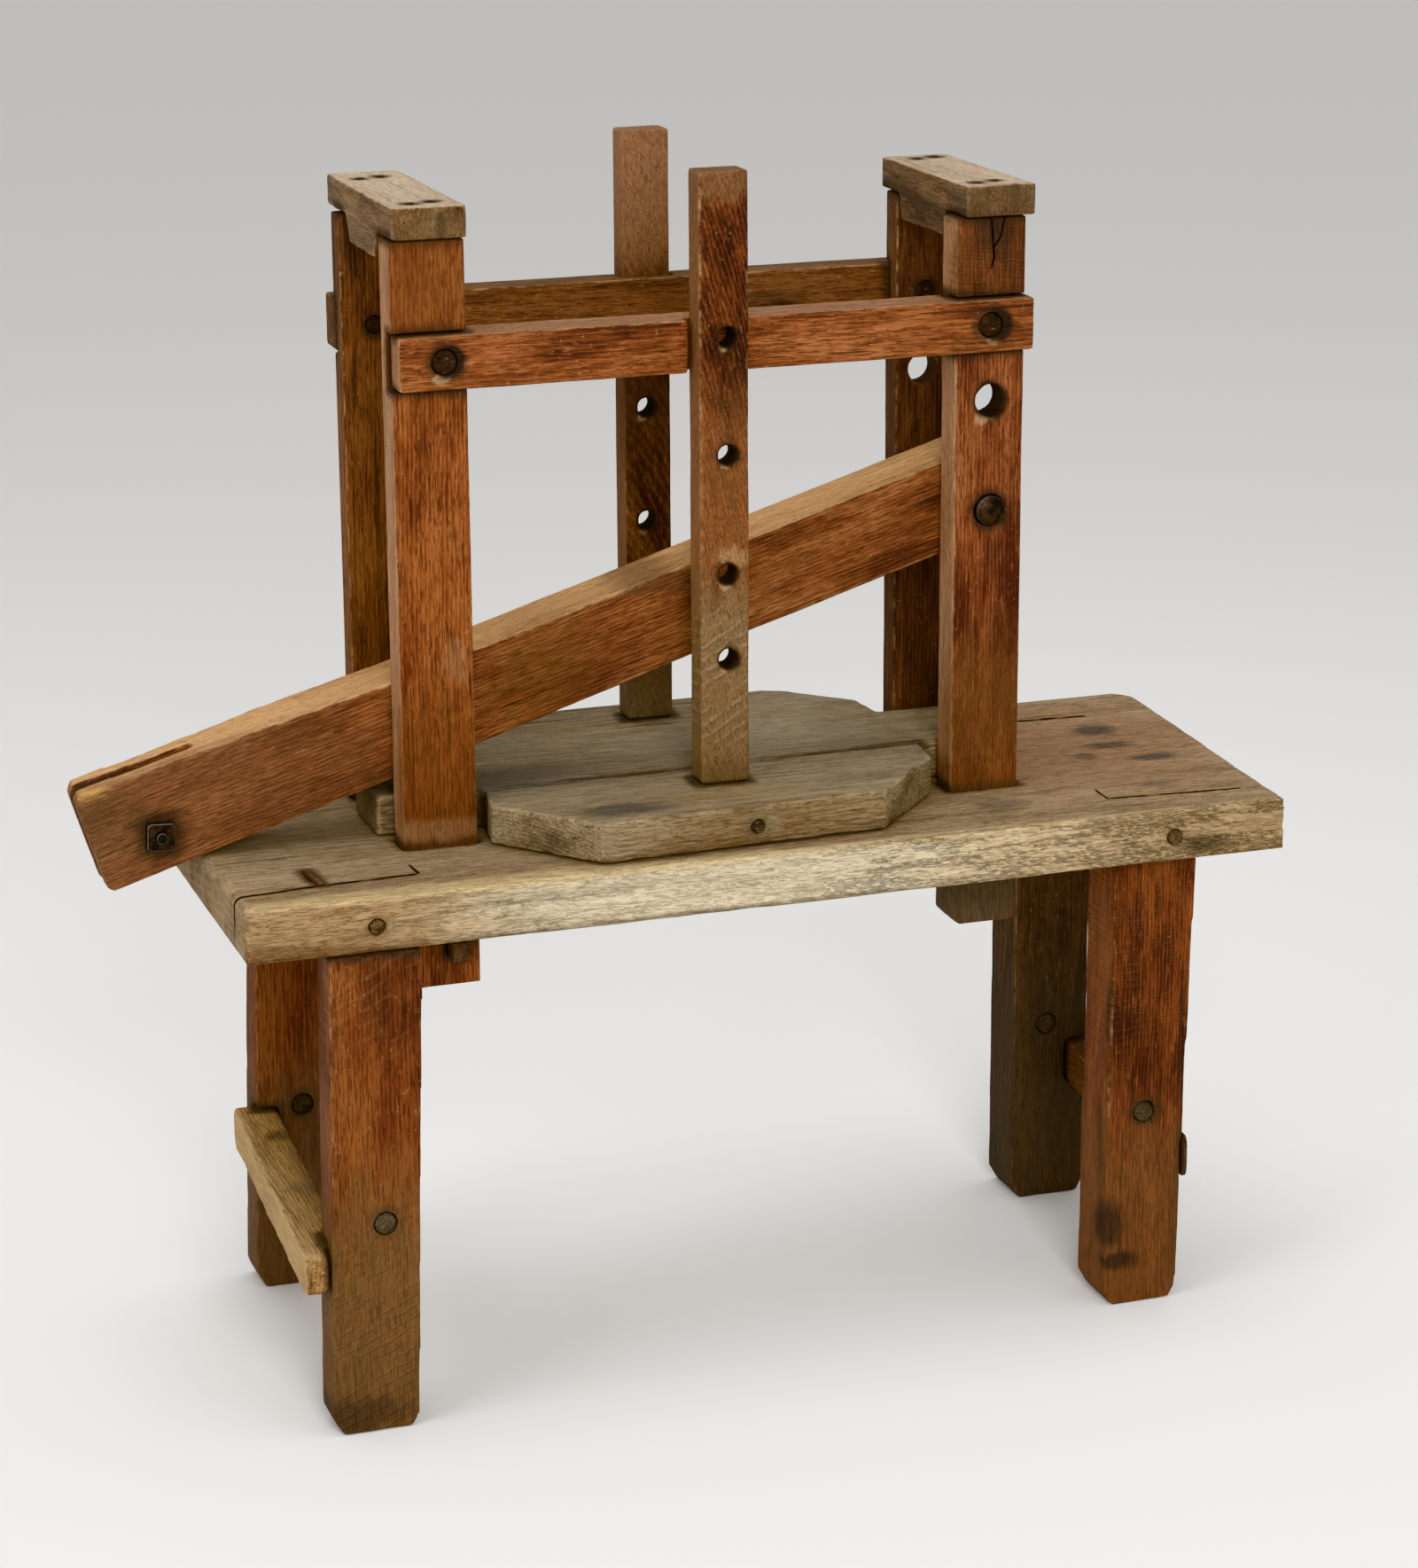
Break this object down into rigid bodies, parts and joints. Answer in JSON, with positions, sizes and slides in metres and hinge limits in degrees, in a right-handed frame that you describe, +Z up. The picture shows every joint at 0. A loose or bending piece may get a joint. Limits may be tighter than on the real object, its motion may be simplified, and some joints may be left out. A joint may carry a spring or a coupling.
{
  "type": "beam cider press",
  "caption": "Beam press on a four-legged bench: pivoted wooden lever between pegged posts, octagonal follower board with two upright slats.",
  "frame": {"origin": "middle of the outline's box in plan, on the floor under the feet", "axes": "+X along the bench to the pivot end, +Y from the front to the back, +Z up"},
  "size_m": [1.3376, 0.472, 1.3244],
  "materials": {
    "bench_oak": "weathered grey-brown oak, pale torn front edge",
    "board_oak": "weathered grey-brown oak",
    "post_oak": "warm red-brown oak, matt",
    "leg_oak": "dark red-brown oak, matt",
    "stretcher_oak": "pale dry oak",
    "cap_oak": "pale weathered oak",
    "rail_oak": "warm brown oak, matt",
    "slat_oak": "brown oak with saw marks",
    "lever_oak": "warm brown oak, worn smooth",
    "peg_oak": "dark end grain",
    "plug_oak": "grey end grain",
    "wedge_oak": "fresh orange-brown splint",
    "iron": "dark wrought iron, worn bright on the crown"
  },
  "bodies": {
    "frame": {"bench_top": "bench_oak", "leg_front_left": "leg_oak", "leg_front_right": "leg_oak", "leg_back_left": "leg_oak", "leg_back_right": "leg_oak", "stretcher_left": "stretcher_oak", "stretcher_right": "leg_oak", "leg_pins": "peg_oak", "leg_plugs": "plug_oak", "crack_wedge": "wedge_oak", "post_front_left": "post_oak", "post_front_right": "post_oak", "post_back_left": "post_oak", "post_back_right": "post_oak", "post_key": "peg_oak", "cap_left": "cap_oak", "cap_right": "cap_oak", "cap_pegs": "peg_oak", "rail_front": "rail_oak", "rail_back": "rail_oak", "rail_pegs": "peg_oak", "pivot_pin": "iron"},
    "follower": {"board_front": "board_oak", "board_back": "board_oak", "board_dowels": "peg_oak", "slat_front": "slat_oak", "slat_back": "slat_oak", "slat_pins": "peg_oak"},
    "lever_arm": {"lever": "lever_oak", "link_bolt": "iron", "link_nut": "iron"}
  },
  "joints": [
    {"name": "lever_pivot", "type": "hinge", "parent": "frame", "child": "lever_arm", "pos_m": [0.34876, 0.005, 0.921], "axis": [0, 1, 0], "range_deg": [0, 36]},
    {"name": "follower_slide", "type": "slide", "parent": "frame", "child": "follower", "axis": [0, 0, 1], "range_m": [0, 0.2]}
  ],
  "couplings": [
    {"joint": "follower_slide", "follows": "lever_pivot", "m_per_rad": 0.315}
  ]
}
